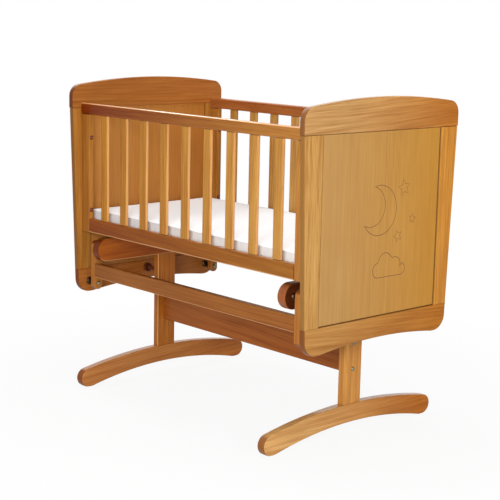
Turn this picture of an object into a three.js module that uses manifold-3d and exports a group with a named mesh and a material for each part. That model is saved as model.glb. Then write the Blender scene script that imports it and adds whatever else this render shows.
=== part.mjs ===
// Glider crib: a slatted cradle between two framed ends, hung on four swing links from a low stand.
// Millimetres. X runs along the crib, Y across it, Z up. The floor is Z = 0 and the middle is X = Y = 0.

import * as THREE from 'three';
import { mergeVertices } from 'three/addons/utils/BufferGeometryUtils.js';
import Module from 'manifold-3d';

const wasm = await Module();
wasm.setup();

// General fits and the number of steps in round edges
const fit = 0.3; // gap left in every joint and round every shank
const overrun = 5; // how far a cutting tool runs past the face it enters
const quarterSteps = 6;
const edgeRoundSteps = 2;
const archSteps = 20;
const topBarRoundSteps = 9;
const pivotSides = 12;
const screwSides = 10;
const lockSides = 20;

// Stand
const footThickness = 24;
const footLength = 612;
const footTop = 80.5;
const footArchRise = 32;
const footEndRadius = 26;
const footPad = 14; // flat length that meets the floor at each end of a foot
const postThickness = 20;
const postWidth = 64;
const topBarThickness = 27;
const topBarHeight = 65;
const postTenonThickness = 10;
const postTenonWidth = 44;
const postTenonLength = 30;
const stretcherThickness = 20;
const stretcherHeight = 90;
const stretcherLift = 79.5; // underside of the stretcher above the top of the feet
const boardRound = 2.5; // small rounding along the edges of plain boards

// Bolt holes that join the stretcher to the posts
const stretcherBoltRadius = 3;
const stretcherBoltInset = 11; // from the upper and lower edge of the stretcher
const stretcherBoltBite = 45;

// Swing links and the rail that ties the two front ones
const topPivotHeight = 389; // of the upper pivots, which lie in the middle of the top bars
const linkDrop = 102; // from an upper pivot to the lower one
const linkThickness = 18;
const linkWidth = 26;
const linkAbove = 20; // wood above the upper pivot
const linkBelow = 18; // wood below the lower pivot
const linkToTopBar = 15.5;
const linkToEnd = 26.5;
const swingRailThickness = 18;
const swingRailHeight = 40.5;
const swingRailLift = 17.5; // underside of the swing rail above the lower pivots
const railScrewInset = 12; // from the upper and lower edge of the swing rail
const railScrewBite = 40;

// Pivot bolts
const pivotRadius = 4;
const pivotHeadRadius = 6.5;
const pivotHeadHeight = 5;
const topPivotBite = 20; // bolt inside the top bar
const bottomPivotBite = 12; // bolt inside the bottom rail of a cradle end
const topCollarRadius = 10;
const bottomCollarRadius = 11;

// Cradle ends
const innerLength = 907; // clear length between the two ends
const endThickness = 17;
const endBottomWidth = 515; // at the top of the bottom rail
const endFlare = 16; // how much further out each edge is at the underside of the top rail
const endStileWidth = 47; // at the foot of the stile
const endBottomRailHeight = 68.5;
const endPanelHeight = 460; // between the two rails
const endTopRailHeight = 83; // at the crown
const topRailOverhang = 2; // beyond the stiles, on each side
const topArchRadius = 1860;
const topCornerRadius = 33;
const bottomArchRise = 15;
const bottomArchInset = 51; // from the edge of the end to the foot of the arch
const endLowCornerRadius = 40;
const panelThickness = 7;
const panelRecess = 5; // how far the panel's edge lies behind the outer face of its frame
const fieldRise = 4; // how far the raised field of the panel stands out from its edge
const fieldBackGap = 4.5; // shadow gap between the field and the back stile
const fieldLowGap = 3; // shadow gap between the field and the bottom rail
const panelTongue = 6; // how far the panel reaches into its frame
const pivotInset = 39.5; // of the pivots, from the edge of the end
const pivotLift = 31.5; // of the lower pivots, above the foot of the end

// Cradle sides
const sideInset = 12.5; // from the edge of the end to the outer face of the side
const sideLift = 180; // underside of the sides above the foot of the ends
const sideTopLift = 15.5; // top of the sides above the underside of the ends' top rails
const sideThickness = 16;
const sideTopRailHeight = 31;
const sideBottomRailHeight = 40;
const sideStileWidth = 37;
const sideRailRound = 4.5;
const slatCount = 9;
const slatEndGap = 51; // between an end stile and the slat next to it
const slatWidth = 29;
const slatThickness = 10;
const slatRound = 3.5;
const slatTenonWidth = 19;
const slatTenonThickness = 5;
const slatTenonLength = 8;

// Screw holes of the cradle and of the swing rail
const screwRadius = 2.5;
const sideScrewLift = 64; // of the lower screw in each end stile of a side, above the side's underside
const sideScrewDrop = 95.5; // of the upper one, below the top of the side
const sideScrewBite = 11;

// Mattress and its base
const baseThickness = 6;
const ledgeHeight = 10; // ledge along the inside of each side's bottom rail, which carries the base
const ledgeDepth = 14;
const ledgeLift = 1.5; // underside of the ledge above the lower edge of the rail
const ledgeRound = 2;
const mattressEndGap = 3;
const mattressSideGap = 11; // on each side, if the mattress lay in the middle
const mattressShift = 6; // the mattress lies this far towards the back
const mattressThickness = 45;
const mattressCrown = 3;
const mattressDrawIn = 5;
const mattressCornerRadius = 12;
const mattressEdgeRadius = 7;
const mattressLengthSteps = 14;
const mattressWidthSteps = 7;
const mattressEdgeSteps = 4;
const mattressCrownSteps = 4;

// Lock knob between the left end of the cradle and the left post
const lockDrop = 20.4; // of its axis, below the top of the end's bottom rail
const lockShift = 11; // of its axis, towards the front
const lockKnobRadius = 13;
const lockKnobLength = 12;
const lockKnobChamfer = 2;
const lockStudRadius = 5;
const lockStudReach = 43; // stud beyond the knob, towards the post
const lockStudBite = 12; // stud inside the bottom rail of the end

// Places along the crib, from the cradle ends inwards
const endInner = innerLength / 2;
const endOuter = endInner + endThickness;
const endMiddle = (endInner + endOuter) / 2;
const panelMiddle = endOuter - panelRecess - panelThickness / 2;
const stileInner = endInner - fit - sideStileWidth; // inner face of a side's end stile
const slatPitch = (2 * (stileInner - slatEndGap) - slatWidth) / (slatCount - 1);
const linkOuter = endInner - linkToEnd;
const linkInner = linkOuter - linkThickness;
const swingRailEnd = linkInner - fit;
const topBarFace = linkInner - linkToTopBar;
const standX = topBarFace - topBarThickness / 2;
const postInner = standX - postThickness / 2;

// Places across the crib
const bottomHalf = endBottomWidth / 2;
const topHalf = bottomHalf + endFlare;
const topRailHalf = topHalf + topRailOverhang;
const openingHalf = bottomHalf - endStileWidth;
const pivotY = bottomHalf - pivotInset;
const swingRailMiddle = pivotY + linkWidth / 2 - swingRailThickness / 2;
const sideMiddle = bottomHalf - sideInset - sideThickness / 2;
const sideInner = sideMiddle - sideThickness / 2;

// Heights
const topBarBottom = topPivotHeight - topBarHeight / 2;
const stretcherBottom = footTop + stretcherLift;
const bottomPivotHeight = topPivotHeight - linkDrop;
const swingRailBottom = bottomPivotHeight + swingRailLift;
const endFoot = bottomPivotHeight - pivotLift;
const seamBottom = endFoot + endBottomRailHeight;
const seamTop = seamBottom + endPanelHeight;
const endTop = seamTop + endTopRailHeight;
const lockHeight = seamBottom - lockDrop;
const sideBottom = endFoot + sideLift;
const sideTop = seamTop + sideTopLift;
const sideScrewHeights = [sideBottom + sideScrewLift, sideTop - sideScrewDrop];
const slatFoot = sideBottom + sideBottomRailHeight;
const slatHead = sideTop - sideTopRailHeight;
const baseBottom = sideBottom + ledgeLift + ledgeHeight + fit;
const mattressBottom = baseBottom + baseThickness + fit;

// Left and right are -X and +X, front and back are -Y and +Y
const ends = [
  ['left', -1],
  ['right', 1],
];
const sides = [
  ['front', -1],
  ['back', 1],
];

// Colours
function finish(color, roughness, metalness = 0) {
  return new THREE.MeshStandardMaterial({ color, roughness, metalness });
}

const framePine = finish(0xb07a3e, 0.5);
const panelPine = finish(0xc89352, 0.5);
const slatPine = finish(0xb8803c, 0.5);
const standPine = finish(0xa56a30, 0.5);
const barePine = finish(0xc9a877, 0.8);
const cotton = finish(0xf1efe9, 0.95);
const zinc = finish(0x8d9088, 0.4, 0.9);

// The whole object
const crib = new THREE.Group();
crib.name = 'glider_crib';

function place(name, geometry, material, x = 0, y = 0, z = 0) {
  const mesh = new THREE.Mesh(geometry, material);
  mesh.name = name;
  mesh.position.set(x, y, z);
  crib.add(mesh);
}

// Turns of a drawn outline: its depth goes along X or Z, and its own axes to the two that follow
const alongX = new THREE.Matrix4().set(0, 0, 1, 0, 1, 0, 0, 0, 0, 1, 0, 0, 0, 0, 0, 1);
const alongZ = new THREE.Matrix4();

// Outline with a depth, centred on that depth
function slab(outline, depth, turn, curveSegments = quarterSteps) {
  const geometry = new THREE.ExtrudeGeometry(outline, { depth, bevelEnabled: false, curveSegments });
  geometry.translate(0, 0, -depth / 2);
  geometry.applyMatrix4(turn);
  return geometry;
}

function roundedRectangle(width, height, radius) {
  const x = width / 2 - radius;
  const y = height / 2 - radius;
  const outline = new THREE.Shape();
  outline.absarc(x, -y, radius, -Math.PI / 2, 0);
  outline.absarc(x, y, radius, 0, Math.PI / 2);
  outline.absarc(-x, y, radius, Math.PI / 2, Math.PI);
  outline.absarc(-x, -y, radius, Math.PI, 1.5 * Math.PI);
  outline.closePath();
  return outline;
}

// Bar with rounded edges
function bar(length, width, height, radius, turn) {
  return slab(roundedRectangle(width, height, radius), length, turn, edgeRoundSteps);
}

// Points of a shallow arch over a chord, from its -half end to its +half end
function archPoints(half, rise, chordHeight) {
  const radius = (half ** 2 + rise ** 2) / (2 * rise);
  const spread = Math.asin(half / radius);
  const points = [];
  for (let i = 0; i <= archSteps; i += 1) {
    const angle = spread * ((2 * i) / archSteps - 1);
    points.push([radius * Math.sin(angle), chordHeight + rise - radius + radius * Math.cos(angle)]);
  }
  return points;
}

// Closed mesh to solid, and back
function toSolid(geometry) {
  const bare = geometry.clone();
  bare.deleteAttribute('normal');
  bare.deleteAttribute('uv');
  const merged = mergeVertices(bare);
  const vertProperties = new Float32Array(merged.attributes.position.array);
  const triVerts = new Uint32Array(merged.index.array);
  return new wasm.Manifold(new wasm.Mesh({ numProp: 3, vertProperties, triVerts }));
}

function toGeometry(solid) {
  const { vertProperties, triVerts } = solid.getMesh();
  const geometry = new THREE.BufferGeometry();
  geometry.setAttribute('position', new THREE.BufferAttribute(new Float32Array(vertProperties), 3));
  geometry.setIndex(new THREE.BufferAttribute(new Uint32Array(triVerts), 1));
  return geometry;
}

function cut(geometry, tools) {
  return toGeometry(tools.reduce((solid, tool) => solid.subtract(toSolid(tool)), toSolid(geometry)));
}

function join(geometry, additions) {
  return toGeometry(additions.reduce((solid, piece) => solid.add(toSolid(piece)), toSolid(geometry)));
}

// Round rod between two places along X
function rodAlongX(radius, fromX, toX, y, z, sideCount = screwSides) {
  const rod = new THREE.CylinderGeometry(radius, radius, Math.abs(toX - fromX), sideCount);
  rod.rotateZ(-Math.PI / 2);
  rod.translate((fromX + toX) / 2, y, z);
  return rod;
}

// Bolt with a domed head and a collar: the head's seat is at 0 and the shank runs along +Y
const domeShares = [
  [0, 1],
  [0.7, 0.75],
  [1, 0.15],
  [1, 0],
];

function pivotBolt(length, collarRadius, collarFrom, collarTo) {
  const point = (across, along) => new THREE.Vector2(across, along);
  const profile = domeShares.map(([across, up]) => point(pivotHeadRadius * across, -pivotHeadHeight * up));
  profile.push(
    point(pivotRadius, 0),
    point(pivotRadius, collarFrom),
    point(collarRadius, collarFrom),
    point(collarRadius, collarTo),
    point(pivotRadius, collarTo),
    point(pivotRadius, length),
    point(0, length),
  );
  return new THREE.LatheGeometry(profile, pivotSides);
}

// Ends of the cradle: arched top rail, arched bottom rail, two tapered stiles, recessed panel
function endTopRailOutline() {
  const cornerY = topRailHalf - topCornerRadius;
  const arm = topArchRadius - topCornerRadius;
  const archCentre = endTop - topArchRadius;
  const cornerZ = archCentre + Math.sqrt(arm ** 2 - cornerY ** 2);
  const lean = Math.asin(cornerY / arm);
  const outline = new THREE.Shape();
  outline.moveTo(-topRailHalf, seamTop + fit / 2);
  outline.lineTo(topRailHalf, seamTop + fit / 2);
  outline.absarc(cornerY, cornerZ, topCornerRadius, 0, Math.PI / 2 - lean);
  for (let i = 1; i < archSteps; i += 1) {
    const angle = lean * (1 - (2 * i) / archSteps);
    outline.lineTo(topArchRadius * Math.sin(angle), archCentre + topArchRadius * Math.cos(angle));
  }
  outline.absarc(-cornerY, cornerZ, topCornerRadius, Math.PI / 2 + lean, Math.PI);
  outline.closePath();
  return outline;
}

function endBottomRailOutline() {
  const cornerZ = endFoot + endLowCornerRadius;
  const taper = endFlare / endPanelHeight;
  const cornerY = bottomHalf - taper * (seamBottom - cornerZ) - endLowCornerRadius;
  const outline = new THREE.Shape();
  outline.moveTo(bottomHalf, seamBottom - fit / 2);
  outline.lineTo(-bottomHalf, seamBottom - fit / 2);
  outline.absarc(-cornerY, cornerZ, endLowCornerRadius, Math.PI, 1.5 * Math.PI);
  const arch = archPoints(bottomHalf - bottomArchInset, bottomArchRise, endFoot);
  for (const [y, z] of arch) outline.lineTo(y, z);
  outline.absarc(cornerY, cornerZ, endLowCornerRadius, 1.5 * Math.PI, 2 * Math.PI);
  outline.closePath();
  return outline;
}

function endStileOutline(side) {
  const outline = new THREE.Shape();
  outline.moveTo(side * openingHalf, seamBottom + fit / 2);
  outline.lineTo(side * bottomHalf, seamBottom + fit / 2);
  outline.lineTo(side * topHalf, seamTop - fit / 2);
  outline.lineTo(side * openingHalf, seamTop - fit / 2);
  outline.closePath();
  return outline;
}

function buildEnd(label, end) {
  const inside = end * (endInner - overrun);
  const openingMiddle = (seamTop + seamBottom) / 2;
  const groove = new THREE.BoxGeometry(
    panelThickness + 2 * fit,
    2 * (openingHalf + panelTongue + fit),
    endPanelHeight + 2 * (panelTongue + fit),
  );
  groove.translate(end * panelMiddle, 0, openingMiddle);

  const frame = (name, outline, holes = []) => {
    const piece = slab(outline, endThickness, alongX);
    piece.translate(end * endMiddle, 0, 0);
    place(`${label}_end_${name}`, cut(piece, [groove, ...holes]), framePine);
  };
  frame('top_rail', endTopRailOutline());

  const pivotDepth = end * (endInner + bottomPivotBite + fit);
  const lowHoles = sides.map(([, side]) =>
    rodAlongX(pivotRadius + fit, inside, pivotDepth, side * pivotY, bottomPivotHeight, pivotSides),
  );
  if (end < 0) {
    const lockDepth = end * (endInner + lockStudBite + fit);
    lowHoles.push(rodAlongX(lockStudRadius + fit, inside, lockDepth, -lockShift, lockHeight, pivotSides));
  }
  frame('bottom_rail', endBottomRailOutline(), lowHoles);

  const screwDepth = end * (endInner + sideScrewBite + fit);
  for (const [sideLabel, side] of sides) {
    const holes = sideScrewHeights.map((height) =>
      rodAlongX(screwRadius + fit, inside, screwDepth, side * sideMiddle, height),
    );
    frame(`${sideLabel}_stile`, endStileOutline(side), holes);
  }

  const panel = new THREE.BoxGeometry(
    panelThickness,
    2 * (openingHalf + panelTongue),
    endPanelHeight + 2 * panelTongue,
  );
  const fieldDepth = fieldRise + panelThickness / 2;
  const field = new THREE.BoxGeometry(
    fieldDepth,
    2 * openingHalf - fit - fieldBackGap,
    endPanelHeight - fit - fieldLowGap,
  );
  field.translate((end * fieldDepth) / 2, (fit - fieldBackGap) / 2, (fieldLowGap - fit) / 2);
  place(`${label}_end_panel`, join(panel, [field]), panelPine, end * panelMiddle, 0, openingMiddle);
}

// Sides of the cradle: a rail along the top, one along the bottom, two end stiles and the slats,
// whose tenons, or with a gap the mortises that take them, reach to both sides of a seam
function buildSide(label, side) {
  const y = side * sideMiddle;
  const slatPlaces = Array.from({ length: slatCount }, (_, i) => (i - (slatCount - 1) / 2) * slatPitch);
  const slatTenons = (height, gap) =>
    slatPlaces.map((x) => {
      const width = slatTenonWidth + 2 * gap;
      const thickness = slatTenonThickness + 2 * gap;
      return new THREE.BoxGeometry(width, thickness, 2 * (slatTenonLength + gap)).translate(x, y, height);
    });

  const topRail = bar(2 * (endInner - fit), sideThickness, sideTopRailHeight, sideRailRound, alongX);
  topRail.translate(0, y, sideTop - sideTopRailHeight / 2);
  place(`${label}_side_top_rail`, cut(topRail, slatTenons(slatHead, fit)), framePine);

  const lowLength = 2 * (stileInner - fit);
  const lowRail = bar(lowLength, sideThickness, sideBottomRailHeight, sideRailRound, alongX);
  lowRail.translate(0, y, sideBottom + sideBottomRailHeight / 2);
  const ledge = bar(lowLength, ledgeDepth + sideThickness / 2, ledgeHeight, ledgeRound, alongX);
  const ledgeY = side * (sideInner - ledgeDepth + (ledgeDepth + sideThickness / 2) / 2);
  ledge.translate(0, ledgeY, sideBottom + ledgeLift + ledgeHeight / 2);
  const ledgedRail = join(lowRail, [ledge]);
  place(`${label}_side_bottom_rail`, cut(ledgedRail, slatTenons(slatFoot, fit)), framePine);

  const stileHeight = slatHead - fit - sideBottom;
  for (const [endLabel, end] of ends) {
    const stile = bar(stileHeight, sideStileWidth, sideThickness, boardRound, alongZ);
    stile.translate(end * (stileInner + sideStileWidth / 2), y, sideBottom + stileHeight / 2);
    const holes = sideScrewHeights.map((height) => {
      const near = end * (stileInner - overrun);
      return rodAlongX(screwRadius + fit, near, end * (endInner + overrun), y, height);
    });
    place(`${label}_side_${endLabel}_stile`, cut(stile, holes), framePine);
  }

  const slatHeight = slatHead - slatFoot - 2 * fit;
  const upper = slatTenons(slatHead, 0);
  const lower = slatTenons(slatFoot, 0);
  slatPlaces.forEach((x, i) => {
    const slat = bar(slatHeight, slatWidth, slatThickness, slatRound, alongZ);
    slat.translate(x, y, (slatHead + slatFoot) / 2);
    place(`${label}_slat_${i + 1}`, join(slat, [upper[i], lower[i]]), slatPine);
  });
}

// Outline of a cushion, walked once round: each point has its outward direction, and how near it
// is to the middle of a straight edge, from 0 at a corner to 1
function cushionWalk(halfX, halfY, radius) {
  const walk = [];
  const centreX = halfX - radius;
  const centreY = halfY - radius;
  [
    [1, 1],
    [-1, 1],
    [-1, -1],
    [1, -1],
  ].forEach(([signX, signY], corner) => {
    for (let i = 0; i <= quarterSteps; i += 1) {
      const angle = (Math.PI / 2) * (corner + i / quarterSteps);
      const outX = Math.cos(angle);
      const outY = Math.sin(angle);
      const x = signX * centreX + radius * outX;
      const y = signY * centreY + radius * outY;
      walk.push({ x, y, outX, outY, pull: 0 });
    }
    const lengthwise = corner % 2 === 0;
    const steps = lengthwise ? mattressLengthSteps : mattressWidthSteps;
    const outX = lengthwise ? 0 : signX;
    const outY = lengthwise ? signY : 0;
    for (let i = 1; i < steps; i += 1) {
      const back = 1 - (2 * i) / steps;
      const x = signX * centreX * (lengthwise ? back : 1) + radius * outX;
      const y = signY * centreY * (lengthwise ? 1 : back) + radius * outY;
      walk.push({ x, y, outX, outY, pull: Math.sin((Math.PI * i) / steps) });
    }
  });
  return walk;
}

// Cushion: flat below, crowned above, with rounded edges and sides that draw in between corners
function cushion() {
  const walk = cushionWalk(endInner - mattressEndGap, sideInner - mattressSideGap, mattressCornerRadius);
  const shoulder = mattressThickness - mattressCrown;
  const positions = [];
  let ringCount = 0;
  const ring = (inset, z, drawShare, spread) => {
    ringCount += 1;
    for (const { x, y, outX, outY, pull } of walk) {
      const inward = inset + mattressDrawIn * drawShare * pull;
      positions.push((x - outX * inward) * spread, (y - outY * inward) * spread, z);
    }
  };
  for (let i = 0; i <= mattressEdgeSteps; i += 1) {
    const angle = ((Math.PI / 2) * i) / mattressEdgeSteps;
    const inset = mattressEdgeRadius * (1 - Math.sin(angle));
    ring(inset, mattressEdgeRadius * (1 - Math.cos(angle)), i / mattressEdgeSteps, 1);
  }
  for (let i = 0; i <= mattressEdgeSteps; i += 1) {
    const angle = ((Math.PI / 2) * i) / mattressEdgeSteps;
    const inset = mattressEdgeRadius * (1 - Math.cos(angle));
    ring(inset, shoulder - mattressEdgeRadius * (1 - Math.sin(angle)), 1 - i / mattressEdgeSteps, 1);
  }
  for (let i = 1; i < mattressCrownSteps; i += 1) {
    const spread = 1 - i / mattressCrownSteps;
    ring(mattressEdgeRadius, shoulder + mattressCrown * Math.sqrt(1 - spread ** 2), 0, spread);
  }
  const count = walk.length;
  const index = [];
  for (let i = 0; i < count; i += 1) {
    const next = (i + 1) % count;
    for (let r = 0; r < ringCount - 1; r += 1) {
      const low = r * count;
      const high = low + count;
      index.push(low + i, low + next, high + next, low + i, high + next, high + i);
    }
    const top = (ringCount - 1) * count;
    index.push(ringCount * count, next, i, ringCount * count + 1, top + i, top + next);
  }
  positions.push(0, 0, 0, 0, 0, mattressThickness);
  const geometry = new THREE.BufferGeometry();
  geometry.setAttribute('position', new THREE.Float32BufferAttribute(positions, 3));
  geometry.setIndex(index);
  return geometry;
}

// Bed: a thin base on the ledges of the sides, and the mattress on the base
function buildBed() {
  const base = new THREE.BoxGeometry(2 * (endInner - fit), 2 * (sideInner - fit), baseThickness);
  place('mattress_base', base, barePine, 0, 0, baseBottom + baseThickness / 2);
  place('mattress', cushion(), cotton, 0, mattressShift, mattressBottom);
}

// Foot: a shallow arch with round ends, flat where it meets the floor and where the post stands
const footEndY = footLength / 2 - footEndRadius;
const footAboveEnd = footTop - footEndRadius;
const footCrownRadius =
  (footEndY ** 2 + footAboveEnd ** 2 - footEndRadius ** 2) / (2 * (footAboveEnd - footEndRadius));
const footSeatAngle = Math.asin(postWidth / 2 / footCrownRadius);
const footSeat = footTop - footCrownRadius * (1 - Math.cos(footSeatAngle));

function footOutline() {
  const lean = Math.asin(footEndY / (footCrownRadius - footEndRadius));
  const crownPoint = (angle) => [
    footCrownRadius * Math.sin(angle),
    footTop - footCrownRadius * (1 - Math.cos(angle)),
  ];
  const outline = new THREE.Shape();
  outline.moveTo(-footEndY, 0);
  for (const [y, z] of archPoints(footEndY - footPad, footArchRise, 0)) outline.lineTo(y, z);
  outline.absarc(footEndY, footEndRadius, footEndRadius, -Math.PI / 2, Math.PI / 2 - lean);
  for (const sign of [1, -1]) {
    for (let i = 0; i < archSteps / 2; i += 1) {
      const share = sign > 0 ? 1 - (i + 1) / (archSteps / 2) : i / (archSteps / 2);
      outline.lineTo(...crownPoint(sign * (footSeatAngle + (lean - footSeatAngle) * share)));
    }
  }
  outline.absarc(-footEndY, footEndRadius, footEndRadius, Math.PI / 2 + lean, 1.5 * Math.PI);
  return outline;
}

function stadium(halfBetween, radius) {
  const outline = new THREE.Shape();
  outline.absarc(halfBetween, 0, radius, -Math.PI / 2, Math.PI / 2);
  outline.absarc(-halfBetween, 0, radius, Math.PI / 2, 1.5 * Math.PI);
  outline.closePath();
  return outline;
}

// Stand: a foot, a post and a top bar at each end, tenoned together, and a stretcher board between
const postBottom = footSeat + fit;
const postTop = topBarBottom - fit;
const stretcherBoltHeights = [
  stretcherBottom + stretcherBoltInset,
  stretcherBottom + stretcherHeight - stretcherBoltInset,
];

// Tenon of a post, or with a gap the mortise that takes it, to both sides of a seam
function postTenon(x, height, gap) {
  const thickness = postTenonThickness + 2 * gap;
  const width = postTenonWidth + 2 * gap;
  return new THREE.BoxGeometry(thickness, width, 2 * (postTenonLength + gap)).translate(x, 0, height);
}

function buildStandEnd(label, end) {
  const x = end * standX;
  const foot = slab(footOutline(), footThickness, alongX);
  foot.translate(x, 0, 0);
  place(`${label}_foot`, cut(foot, [postTenon(x, footSeat, fit)]), standPine);

  const post = bar(postTop - postBottom, postThickness, postWidth, boardRound, alongZ);
  post.translate(x, 0, (postTop + postBottom) / 2);
  const tenonedPost = join(post, [postTenon(x, footSeat, 0), postTenon(x, topBarBottom, 0)]);
  const near = end * (postInner - overrun);
  const far = end * (postInner + postThickness + overrun);
  const boltHoles = stretcherBoltHeights.map((z) => rodAlongX(stretcherBoltRadius + fit, near, far, 0, z));
  place(`${label}_post`, cut(tenonedPost, boltHoles), standPine);

  const topBar = slab(stadium(pivotY, topBarHeight / 2), topBarThickness, alongX, topBarRoundSteps);
  topBar.translate(x, 0, topPivotHeight);
  const deep = end * (topBarFace - topPivotBite - fit);
  const pivotHoles = sides.map(([, side]) => {
    const mouth = end * (topBarFace + overrun);
    return rodAlongX(pivotRadius + fit, deep, mouth, side * pivotY, topPivotHeight, pivotSides);
  });
  place(`${label}_top_bar`, cut(topBar, [postTenon(x, topBarBottom, fit), ...pivotHoles]), standPine);
}

function buildStretcher() {
  const reach = postInner - fit;
  const board = bar(2 * reach, stretcherThickness, stretcherHeight, boardRound, alongX);
  board.translate(0, 0, stretcherBottom + stretcherHeight / 2);
  const holes = ends.flatMap(([, end]) =>
    stretcherBoltHeights.map((z) => {
      const deep = end * (reach - stretcherBoltBite - fit);
      return rodAlongX(stretcherBoltRadius + fit, deep, end * (reach + overrun), 0, z);
    }),
  );
  place('stretcher_board', cut(board, holes), standPine);
}

// Links: upright bars with round ends, drilled for their pivots, and the front ones for the rail
const linkBottom = bottomPivotHeight - linkBelow;
const linkTop = topPivotHeight + linkAbove;
const linkMiddle = (linkBottom + linkTop) / 2;
const railScrewHeights = [
  swingRailBottom + railScrewInset,
  swingRailBottom + swingRailHeight - railScrewInset,
];

function buildLink(name, end, side) {
  const outline = roundedRectangle(linkWidth, linkTop - linkBottom, linkWidth / 2);
  const link = slab(outline, linkThickness, alongX);
  link.translate(end * (linkInner + linkThickness / 2), side * pivotY, linkMiddle);
  const near = end * (linkInner - overrun);
  const far = end * (linkOuter + overrun);
  const holes = [topPivotHeight, bottomPivotHeight].map((z) =>
    rodAlongX(pivotRadius + fit, near, far, side * pivotY, z, pivotSides),
  );
  if (side < 0) {
    for (const z of railScrewHeights) {
      holes.push(rodAlongX(screwRadius + fit, near, far, side * swingRailMiddle, z));
    }
  }
  place(name, cut(link, holes), framePine);
}

function buildSwingRail() {
  const rail = bar(2 * swingRailEnd, swingRailThickness, swingRailHeight, boardRound, alongX);
  rail.translate(0, -swingRailMiddle, swingRailBottom + swingRailHeight / 2);
  const holes = ends.flatMap(([, end]) =>
    railScrewHeights.map((z) => {
      const deep = end * (swingRailEnd - railScrewBite - fit);
      return rodAlongX(screwRadius + fit, deep, end * (swingRailEnd + overrun), -swingRailMiddle, z);
    }),
  );
  place('front_swing_rail', cut(rail, holes), framePine);
}

// Pivot bolts: each has a collar that keeps its link clear of the top bar, or of the cradle end
function buildPivots(endLabel, end, sideLabel, side) {
  const y = side * pivotY;
  const topSeat = linkOuter + fit;
  const topCollarFrom = topSeat - linkInner + fit;
  const topCollarTo = topSeat - topBarFace - fit;
  const topLength = topSeat - topBarFace + topPivotBite;
  const top = pivotBolt(topLength, topCollarRadius, topCollarFrom, topCollarTo);
  top.rotateZ((end * Math.PI) / 2);
  place(`${sideLabel}_${endLabel}_upper_pivot_bolt`, top, zinc, end * topSeat, y, topPivotHeight);

  const lowSeat = linkInner - fit;
  const lowCollarFrom = linkOuter + fit - lowSeat;
  const lowCollarTo = endInner - fit - lowSeat;
  const lowLength = endInner + bottomPivotBite - lowSeat;
  const low = pivotBolt(lowLength, bottomCollarRadius, lowCollarFrom, lowCollarTo);
  low.rotateZ((-end * Math.PI) / 2);
  place(`${sideLabel}_${endLabel}_lower_pivot_bolt`, low, zinc, end * lowSeat, y, bottomPivotHeight);
}

// Lock knob: a turned knob on a stud, carried by the bottom rail of the left end
function buildLockKnob() {
  const knobFrom = lockStudBite + fit;
  const knobTo = knobFrom + lockKnobLength;
  const profile = [
    [0, 0],
    [lockStudRadius, 0],
    [lockStudRadius, knobFrom],
    [lockKnobRadius - lockKnobChamfer, knobFrom],
    [lockKnobRadius, knobFrom + lockKnobChamfer],
    [lockKnobRadius, knobTo - lockKnobChamfer],
    [lockKnobRadius - lockKnobChamfer, knobTo],
    [lockStudRadius, knobTo],
    [lockStudRadius, knobTo + lockStudReach],
    [0, knobTo + lockStudReach],
  ].map(([across, along]) => new THREE.Vector2(across, along));
  const knob = new THREE.LatheGeometry(profile, lockSides);
  knob.rotateZ(-Math.PI / 2);
  place('lock_knob', knob, framePine, -(endInner + lockStudBite), -lockShift, lockHeight);
}

for (const [label, end] of ends) {
  buildEnd(label, end);
  buildStandEnd(label, end);
}
for (const [label, side] of sides) {
  buildSide(label, side);
  for (const [endLabel, end] of ends) {
    buildLink(`${label}_${endLabel}_link`, end, side);
    buildPivots(endLabel, end, label, side);
  }
}
buildBed();
buildStretcher();
buildSwingRail();
buildLockKnob();

export default crib;
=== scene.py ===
"""Looks of the glider crib: stained pine with rounded arrises, a padded mattress, bolts and screws,
an engraved night-sky motif, studio light and the photograph's camera. Metres, Z up."""

import math
import random

import bmesh
import bpy
from mathutils import Matrix, Vector
from mathutils.bvhtree import BVHTree


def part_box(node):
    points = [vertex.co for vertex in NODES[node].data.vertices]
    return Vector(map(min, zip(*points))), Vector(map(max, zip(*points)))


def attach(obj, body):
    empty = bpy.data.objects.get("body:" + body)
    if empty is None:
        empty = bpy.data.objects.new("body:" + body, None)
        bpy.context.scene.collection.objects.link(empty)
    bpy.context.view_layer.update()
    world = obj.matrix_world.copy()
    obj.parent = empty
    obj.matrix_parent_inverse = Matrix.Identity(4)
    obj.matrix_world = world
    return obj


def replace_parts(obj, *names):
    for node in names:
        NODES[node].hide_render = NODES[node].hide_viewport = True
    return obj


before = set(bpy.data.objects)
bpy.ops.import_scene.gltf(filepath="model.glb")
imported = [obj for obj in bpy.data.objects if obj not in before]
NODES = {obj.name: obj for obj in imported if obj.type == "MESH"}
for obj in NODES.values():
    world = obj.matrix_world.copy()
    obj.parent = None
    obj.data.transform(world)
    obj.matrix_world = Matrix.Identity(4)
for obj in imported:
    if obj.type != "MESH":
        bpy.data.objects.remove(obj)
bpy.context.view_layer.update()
MM = 0.001

# Camera of the photograph
CAMERA_PLACE = (2.61761, -2.39099, 1.06896)
CAMERA_YAW = 0.8321
CAMERA_PITCH = 0.1809
CAMERA_ROLL = 0.0212
CAMERA_LENS = 95.17
SENSOR_WIDTH = 36

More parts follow.
